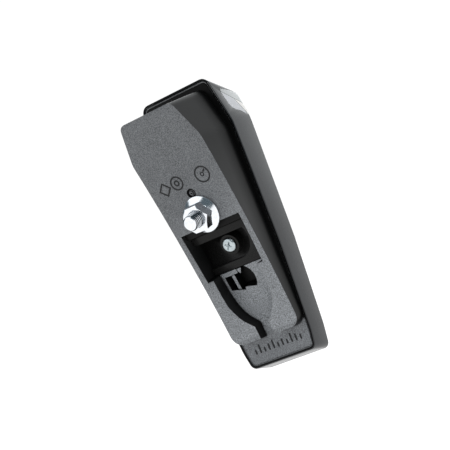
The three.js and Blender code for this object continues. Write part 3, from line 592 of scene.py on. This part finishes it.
# %% Sweep one thread tooth
PITCH = 0.8
STUD_RADIUS = 2.48
ROOT_RADIUS = 2.04
STUD_TOP = 8.26
ROD_FOOT = 0.2
ROD_SPARE = 0.5
THREAD_STEPS = 64
TOOTH = ((0, 0.1), (1, 0.33), (0, 0.14), (-1, 0.33), (0, 0.1))  # rise in heights, run in pitches


def threaded_rod(name, low_mm, high_mm):
    """A closed threaded rod along Z from one height to another."""
    start = low_mm - 2 * PITCH
    bpy.ops.object.select_all(action="DESELECT")
    bpy.ops.mesh.primitive_plane_add(size=MM, location=(ROOT_RADIUS * MM, 0, start * MM))
    rod = bpy.context.object
    rod.name = name
    bpy.ops.object.transform_apply(location=True)
    bpy.ops.object.mode_set(mode="EDIT")
    bpy.ops.mesh.select_all(action="SELECT")
    bpy.ops.mesh.merge(type="CENTER")
    height = STUD_RADIUS - ROOT_RADIUS
    for rise, run in TOOTH:
        step = (rise * height * MM, 0, run * PITCH * MM)
        bpy.ops.mesh.extrude_vertices_move(TRANSFORM_OT_translate={"value": step})
    bpy.ops.object.mode_set(mode="OBJECT")
    sweep = rod.modifiers.new("thread", "SCREW")
    sweep.angle = math.tau
    sweep.screw_offset = PITCH * MM
    sweep.iterations = int((high_mm - low_mm) / PITCH) + 5
    sweep.steps = sweep.render_steps = THREAD_STEPS
    sweep.use_merge_vertices = True
    sweep.merge_threshold = WELD
    bpy.ops.object.modifier_apply(modifier=sweep.name)
    trim_square(low_mm, high_mm)
    return rod


def trim_square(low_mm, high_mm):
    """Cut the active rod off at two heights and close its ends."""
    bpy.ops.object.mode_set(mode="EDIT")
    for place, outer, inner in ((low_mm, False, True), (high_mm, True, False)):
        bpy.ops.mesh.select_all(action="SELECT")
        bpy.ops.mesh.remove_doubles(threshold=WELD)
        bpy.ops.mesh.bisect(
            plane_co=(0, 0, place * MM), plane_no=(0, 0, 1), clear_outer=outer, clear_inner=inner
        )
    bpy.ops.mesh.select_all(action="DESELECT")
    bpy.ops.mesh.select_mode(type="EDGE")
    bpy.ops.mesh.select_non_manifold(
        use_wire=False, use_multi_face=False, use_non_contiguous=False, use_verts=False
    )
    bpy.ops.mesh.edge_face_add()
    bpy.ops.mesh.select_all(action="SELECT")
    bpy.ops.mesh.normals_make_consistent(inside=False)
    bpy.ops.object.mode_set(mode="OBJECT")


thread = threaded_rod("stud_thread", ROD_FOOT, STUD_TOP + ROD_SPARE)
print("thread faces:", len(thread.data.polygons))

# %% [markdown]
# The rod's end is chamfered, as every bought stud's is. The chamfer is a cone that trims the first
# turns: intersecting the rod with a tapered blank gives it without touching the thread below.

# %% Chamfer the stud's end and set it on the face
BLANK_RADIUS = 3.2
BLANK_TAPER = 0.95
BLANK_BELOW = 2
END_RADIUS = 1.95
bpy.ops.object.select_all(action="DESELECT")
bpy.ops.mesh.primitive_cylinder_add(
    vertices=64,
    radius=BLANK_RADIUS * MM,
    depth=(STUD_TOP + BLANK_BELOW) * MM,
    location=(0, 0, (STUD_TOP - BLANK_BELOW) / 2 * MM),
)
blank = bpy.context.object
blank.name = "stud_blank"
bpy.ops.object.transform_apply(location=True)
select_where(blank, "FACE", lambda face: face.normal.z > 0.9)
bpy.ops.transform.translate(value=(0, 0, -BLANK_TAPER * MM))
bpy.ops.mesh.extrude_region_move(TRANSFORM_OT_translate={"value": (0, 0, BLANK_TAPER * MM)})
shrink = END_RADIUS / BLANK_RADIUS
bpy.ops.transform.resize(value=(shrink, shrink, 1), center_override=(0, 0, STUD_TOP * MM))
bpy.ops.object.mode_set(mode="OBJECT")
trim = thread.modifiers.new("end chamfer", "BOOLEAN")
trim.operation = "INTERSECT"
trim.solver = "EXACT"
trim.object = blank
only(thread)
bpy.ops.object.modifier_apply(modifier=trim.name)
bpy.data.objects.remove(blank)
weld(thread)
thread.data.transform(FACE_TURN)
bpy.ops.object.shade_smooth_by_angle(angle=math.radians(20))
print("thread box:", [round(v / MM, 2) for v in thread.dimensions])

# %% [markdown]
# A thread's roots lie in shade, so they look dark beside the bright crests. That shade is painted:
# the metal is darkened by its distance from the stud's axis, except on the stud's flat end.

# %% Painted shade in the thread roots
THREAD_SHADE = (2.34, 2.46)
ROOT_SHADE = (0.02, 0.028, 0.03)
END_FACE = (STUD_TOP - 0.3, STUD_TOP - 0.1)


def painted_root_shade(material):
    """Paint shade on a metal towards the thread's root, by the distance from the stud's axis."""
    nodes, links = material.node_tree.nodes, material.node_tree.links
    shader = nodes["Principled BSDF"]
    coordinates = nodes.new("ShaderNodeTexCoord")
    places = coordinates.outputs["Object"]
    height = reach(nodes, links, places, OUT)
    on_axis = nodes.new("ShaderNodeVectorMath")
    on_axis.operation = "SCALE"
    on_axis.inputs[0].default_value = OUT
    links.new(height, on_axis.inputs["Scale"])
    from_axis = distance(nodes, links, places, on_axis.outputs["Vector"])
    crest = fall(nodes, links, from_axis, *THREAD_SHADE)
    end = fall(nodes, links, height, *END_FACE)
    bright = combine(nodes, links, "MAXIMUM", crest, end)
    tone = full_ramp(nodes, links, bright, ROOT_SHADE, (1.0, 1.0, 1.0))
    plain = shader.inputs["Base Color"].links[0].from_socket
    links.new(mix_colours(nodes, links, None, plain, tone, "MULTIPLY"), shader.inputs["Base Color"])


painted_root_shade(thread_zinc)
thread.data.materials.append(thread_zinc)
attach(thread, "light")
print("thread finished:", thread.name)

# %% [markdown]
# The stud's neck and head are hidden inside the base, so the CAD node's own lower part serves. It is
# copied, cut off where the threaded rod starts, and closed.

# %% Keep the stud's neck and head below the thread
NECK_TOP = 0.21
neck = merged_copy("mount_stud", "stud_neck_and_head", "light")
only(neck)
bpy.ops.object.mode_set(mode="EDIT")
bpy.ops.mesh.select_all(action="SELECT")
bpy.ops.mesh.bisect(plane_co=on_face(0, 0, NECK_TOP), plane_no=OUT, use_fill=True, clear_outer=True)
bpy.ops.object.mode_set(mode="OBJECT")
soften(neck, 0.12)
neck.data.materials.append(zinc)

# %% [markdown]
# ## Flange nut
# The CAD nut has its flange, cone and chamfered hexagon. Rolling its edges over gives the soft
# bright outlines that plated nuts have.

# %% Soften the nut
nut = soften(merged_copy("flange_nut", "nut_with_flange", "nut"), 0.16, 3, 20, 30)
weld(nut)
nut.data.materials.append(zinc)

# %% [markdown]
# ## Base, shell and terminal parts
# These moulded parts keep their CAD shape. Each gets an edge radius of the size its mould would
# have: wide on the shell, fine round the sharp recesses of the base.

# %% Moulded parts
MOULDED = [
    # node, piece, body, radius in mm, material, record slot
    ("housing_shell", "shell_moulding", "light", 0.12, shell_grey, "shell_plastic"),
    ("base_housing", "base_moulding", "light", 0.08, base_grey, "base_plastic"),
    ("rim_seal", "rim_seal_line", "light", 0.04, seal_grey, "seal_rubber"),
    ("terminal_block", "block_moulding", "light", 0.12, block_black, "block_plastic"),
    ("terminal_cover", "cover_moulding", "cover", 0.14, cover_black, "cover_plastic"),
    ("clear_lens", "lens_moulding", "light", 0.15, lens_clear, "clear_plastic"),
    ("reflex_reflector", "reflector_panel", "light", 0.15, reflex_red, "red_reflector"),
]
for node, name, body, radius, material, slot in MOULDED:
    piece = soften(merged_copy(node, name, body), radius)
    piece.data.materials.append(material)

# %% [markdown]
# ## Moulded marks
# Such a light carries small engraved marks from its mould. These are generic shapes: a lozenge, two
# rings one in the other, a dial with its hub and hand, and a row of gauge bars along the foot. Each
# is a thin dark slab sunk into the face, whose top stands only a hair above it, so that it reads as
# an engraved line.

# %% Slabs and frames that follow the hollowed face
FACE_LENGTH = 76.6
FACE_SAG = 1.6
STUD_AT = 42.17
MARK_DEEP = 0.3
MARK_PROUD = 0.05
MARK_MIDDLE = MARK_PROUD - MARK_DEEP / 2
MARK_LINE = 0.5
ROUND_SHARE = 0.48


def face_hollow(up):
    """How far the face lies below its chord at a height counted from the stud."""
    half = FACE_LENGTH / 2
    return -FACE_SAG * (1 - ((up + STUD_AT - half) / half) ** 2)


def set_on_face(mark, across, up, turn_degrees=0):
    """Lay a mark modelled on the ground plane onto the face, tilted with the hollow."""
    rise = face_hollow(up + 0.5) - face_hollow(up - 0.5)
    tilt = Matrix.Rotation(math.atan(rise), 4, "X")
    spin = Matrix.Rotation(math.radians(turn_degrees), 4, "Z")
    level = face_hollow(up) - face_hollow(0)
    mark.data.transform(Matrix.Translation(on_face(across, up, level)) @ FACE_TURN @ tilt @ spin)


def bar_mark(name, width, length):
    """A slab that starts at the origin and runs along Y, with round ends."""
    bpy.ops.object.select_all(action="DESELECT")
    bpy.ops.mesh.primitive_cube_add(size=1, location=(0, length / 2 * MM, MARK_MIDDLE * MM))
    mark = bpy.context.object
    mark.name = name
    mark.scale = (width * MM, length * MM, MARK_DEEP * MM)
    bpy.ops.object.transform_apply(location=True, scale=True)

    def upright(edge):
        start, end = (mark.data.vertices[i].co for i in edge.vertices)
        return abs(start.z - end.z) > MARK_DEEP / 2 * MM

    select_where(mark, "EDGE", upright)
    bpy.ops.mesh.bevel(offset=width * ROUND_SHARE * MM, segments=5)
    bpy.ops.object.mode_set(mode="OBJECT")
    return mark


def frame_mark(name, sides, radius, line):
    """A flat frame round the origin: a ring when it has many sides, a lozenge with four."""
    bpy.ops.object.select_all(action="DESELECT")
    middle = (0, 0, MARK_MIDDLE * MM)
    bpy.ops.mesh.primitive_cylinder_add(
        vertices=sides, radius=radius * MM, depth=MARK_DEEP * MM, location=middle
    )
    mark = bpy.context.object
    mark.name = name
    bpy.ops.object.transform_apply(location=True)
    select_where(mark, "FACE", lambda face: abs(face.normal.z) > 0.9)
    bpy.ops.mesh.inset(thickness=line * MM)
    bpy.ops.mesh.bridge_edge_loops()
    bpy.ops.mesh.select_all(action="SELECT")
    bpy.ops.mesh.normals_make_consistent(inside=False)
    bpy.ops.object.mode_set(mode="OBJECT")
    return mark


# %% Lozenge, rings and dial
mark_black = moulded("engraved_mark", (0.022, 0.022, 0.023), 0.6, 6, 0.005, level=0.2)
DIAL = (7.0, 11.0)
DIAL_TURN = -50
HAND_LENGTH = 1.2
HAND_START = 0.85
FRAMES = [
    # name, sides, radius, line width, across, up
    ("lozenge", 4, 2.4, MARK_LINE, -7.8, 11.2),
    ("outer_ring", 48, 2.3, MARK_LINE, -2.8, 11.6),
    ("inner_ring", 32, 1.0, MARK_LINE, -2.8, 11.6),
    ("dial_ring", 48, 2.7, MARK_LINE, *DIAL),
    ("dial_hub", 24, 0.75, 0.35, *DIAL),
]
marks = []
for name, sides, radius, line, across, up in FRAMES:
    mark = frame_mark("moulded_" + name, sides, radius, line)
    set_on_face(mark, across, up)
    marks.append(mark)
hand = bar_mark("moulded_dial_hand", MARK_LINE, HAND_LENGTH)
hand.data.transform(Matrix.Translation((0, HAND_START * MM, 0)))
set_on_face(hand, *DIAL, DIAL_TURN)
marks.append(hand)
print("marks on the face:", len(marks))

# %% [markdown]
# The gauge bar is modelled once. Every copy gets its own mesh, its upper end is drawn out to its own
# length, and it is stood upright on the foot strip.

# %% Gauge bars along the foot
BAR_STEP = 1.75
BAR_WIDTH = 0.55
BAR_LENGTH = 1.0
BAR_FOOT = -46.2
FOOT_STRIP_Y = 10.0
BAR_LENGTHS = (1.6, 2.9, 1.6, 2.2, 2.9, 1.6, 2.2, 1.6, 2.9, 2.2, 1.6)
gauge_bar = bar_mark("gauge_bar", BAR_WIDTH, BAR_LENGTH)
upright_turn = Matrix.Rotation(math.radians(90), 4, "X")
for index, length in enumerate(BAR_LENGTHS):
    mark = gauge_bar.copy()
    mark.data = gauge_bar.data.copy()
    mark.name = f"moulded_gauge_bar_{index + 1}"
    bpy.context.scene.collection.objects.link(mark)
    for point in mark.data.vertices:
        if point.co.y > BAR_LENGTH / 2 * MM:
            point.co.y += (length - BAR_LENGTH) * MM
    from_middle = index - len(BAR_LENGTHS) // 2
    place = Vector((from_middle * BAR_STEP, FOOT_STRIP_Y, BAR_FOOT)) * MM
    mark.data.transform(Matrix.Translation(place) @ upright_turn)
    marks.append(mark)
bpy.data.objects.remove(gauge_bar)
for mark in marks:
    mark.data.materials.append(mark_black)
    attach(mark, "light")
print("moulded marks:", len(marks))

# %% [markdown]
# ## Cover screw
# A pan-head screw with a cross recess. Its head is small, so its rim and the recess get only a fine
# radius, which keeps the recess readable.

# %% Cover screw
screw = soften(merged_copy("cover_screw", "cross_recess_screw", "screw"), 0.07, 2, 30, 30)
weld(screw)
screw.data.materials.append(screw_zinc)

# %% [markdown]
# ## The parts inside
# The board and its parts only show through the lens or with the shell off. They keep their CAD
# shapes, with edges softened, and each gets its own finish.

# %% Board and component finishes
board_green = moulded("board_green", (0.02, 0.13, 0.055), 0.3, 1.2, 0.01, 0.25, coat=0.6)
tray_white = moulded("tray_white", (0.82, 0.83, 0.83), 0.25, 3, 0.004, 0.03)
sleeve_dark = moulded("sleeve_dark", (0.014, 0.017, 0.03), 0.3, 2, 0.01)
epoxy_black = moulded("epoxy_black", (0.018, 0.018, 0.018), 0.55, 8, 0.01)
INSIDE = [
    ("contact_left", brass, "contact_brass"),
    ("contact_right", brass, "contact_brass"),
    ("circuit_board", board_green, "board_laminate"),
    ("board_screw_1", screw_zinc, "screw_steel"),
    ("board_screw_2", screw_zinc, "screw_steel"),
    ("reflector_tray", tray_white, "white_plastic"),
    ("light_guide", guide_clear, "clear_plastic"),
    ("standlight_capacitor", sleeve_dark, "component_sleeve"),
    ("bridge_rectifier", epoxy_black, "component_black"),
    ("regulator_chip", epoxy_black, "component_black"),
    ("inductor_coil", epoxy_black, "component_black"),
    ("smoothing_capacitor", bare_can, "component_can"),
    ("resistor_1", epoxy_black, "component_black"),
    ("resistor_2", epoxy_black, "component_black"),
]
INSIDE += [(f"led_{i}", led_red, "led_resin") for i in (1, 2, 3, 4)]
for node, material, slot in INSIDE:
    part = soften(merged_copy(node, node + "_finished", "light"), 0.08)
    part.data.materials.append(material)
print("inner parts:", len(INSIDE))

# %% [markdown]
# ## Camera
# The light is seen from its mounting side, from the lower right, with the camera rolled so that the
# light leans across the picture.

# %% Camera
SENSOR_WIDTH = 36.0
FOCAL_IN_PICTURE_WIDTHS = 1634.9 / 450
CAMERA_PLACE = (0.28587, -0.39805, -0.01244)
camera_data = bpy.data.cameras.new("camera")
camera = bpy.data.objects.new("camera", camera_data)
bpy.context.scene.collection.objects.link(camera)
camera_data.sensor_width = SENSOR_WIDTH
camera_data.lens = FOCAL_IN_PICTURE_WIDTHS * SENSOR_WIDTH
camera_data.clip_start = 0.01
camera_data.clip_end = 10
forward = Vector((-0.5753, 0.8179, 0.0137)).normalized()
picture_up = Vector((0.3232, 0.2119, 0.9223))
right = forward.cross(picture_up).normalized()
picture_up = right.cross(forward)
camera_turn = Matrix((right, picture_up, -forward)).transposed().to_4x4()
camera.matrix_world = Matrix.Translation(CAMERA_PLACE) @ camera_turn
bpy.context.scene.camera = camera
print("focal length in mm:", round(camera_data.lens, 1))

# %% [markdown]
# ## Floor, light and background
# A pale floor lies just under the light and glows, which fills its underside. The room is white
# behind the light and nearly black on the camera's side, so that walls facing the camera's right
# fall dark, as they do on a real product table. A large soft lamp above and to the left does the
# lighting, and a small one from the right draws a thin highlight along the edges.

# %% Floor
FLOOR_SIZE = 6
FLOOR_GAP = 0.004
FLOOR_GLOW = 1.2
bpy.ops.object.select_all(action="DESELECT")
bpy.ops.mesh.primitive_plane_add(size=FLOOR_SIZE, location=(0, 0, cad_low.z - FLOOR_GAP))
floor = bpy.context.object
floor.name = "floor"
floor_paint, nodes, links, shader = start_material("pale_floor")
glow = nodes.new("ShaderNodeEmission")
glow.inputs["Color"].default_value = (1, 1, 1, 1)
glow.inputs["Strength"].default_value = FLOOR_GLOW
links.new(glow.outputs["Emission"], nodes["Material Output"].inputs["Surface"])
floor.data.materials.append(floor_paint)
print("floor height in mm:", round((cad_low.z - FLOOR_GAP) / MM, 1))

# %% World
BEHIND = Vector((0.1, 0.98, 0.0)).normalized()
DARK_SIDE = (0.045, 0.062, 0.072)
BRIGHT_SIDE = (0.97, 0.99, 1.0)
ROOM_STRENGTH = 1.7
BACKDROP_STRENGTH = 1.05
world = bpy.data.worlds.new("studio")
bpy.context.scene.world = world
world.use_nodes = True
nodes, links = world.node_tree.nodes, world.node_tree.links
backdrop = nodes["Background"]
backdrop.inputs["Color"].default_value = (1, 1, 1, 1)
backdrop.inputs["Strength"].default_value = BACKDROP_STRENGTH
room = nodes.new("ShaderNodeBackground")
direction = nodes.new("ShaderNodeTexCoord")
towards = reach(nodes, links, direction.outputs["Generated"], BEHIND)
links.new(ramp(nodes, links, towards, DARK_SIDE, BRIGHT_SIDE, 0.1, 0.5), room.inputs["Color"])
room.inputs["Strength"].default_value = ROOM_STRENGTH
seen = nodes.new("ShaderNodeLightPath")
choose = nodes.new("ShaderNodeMixShader")
links.new(seen.outputs["Is Camera Ray"], choose.inputs["Fac"])
links.new(room.outputs["Background"], choose.inputs[1])
links.new(backdrop.outputs["Background"], choose.inputs[2])
links.new(choose.outputs["Shader"], nodes["World Output"].inputs["Surface"])
print("world:", world.name)


# %% Lamps
LAMPS_AIM = Vector((0, 0, -0.01))


def soft_lamp(name, place, size, power):
    """A rectangular lamp that faces the light. Its place and size are in metres."""
    data = bpy.data.lights.new(name, "AREA")
    data.shape = "RECTANGLE"
    data.size, data.size_y = size
    data.energy = power
    lamp = bpy.data.objects.new(name, data)
    bpy.context.scene.collection.objects.link(lamp)
    turn = (LAMPS_AIM - Vector(place)).to_track_quat("-Z", "Y").to_matrix().to_4x4()
    lamp.matrix_world = Matrix.Translation(place) @ turn
    print("lamp:", name, power, "W")


soft_lamp("key_softbox", (-0.5, -0.72, 0.42), (1.2, 0.9), 4.2)
soft_lamp("edge_light", (0.42, -0.4, 0.34), (0.1, 0.1), 0.45)

# %% Colour handling
bpy.context.scene.view_settings.view_transform = "Standard"
bpy.context.scene.view_settings.look = "None"
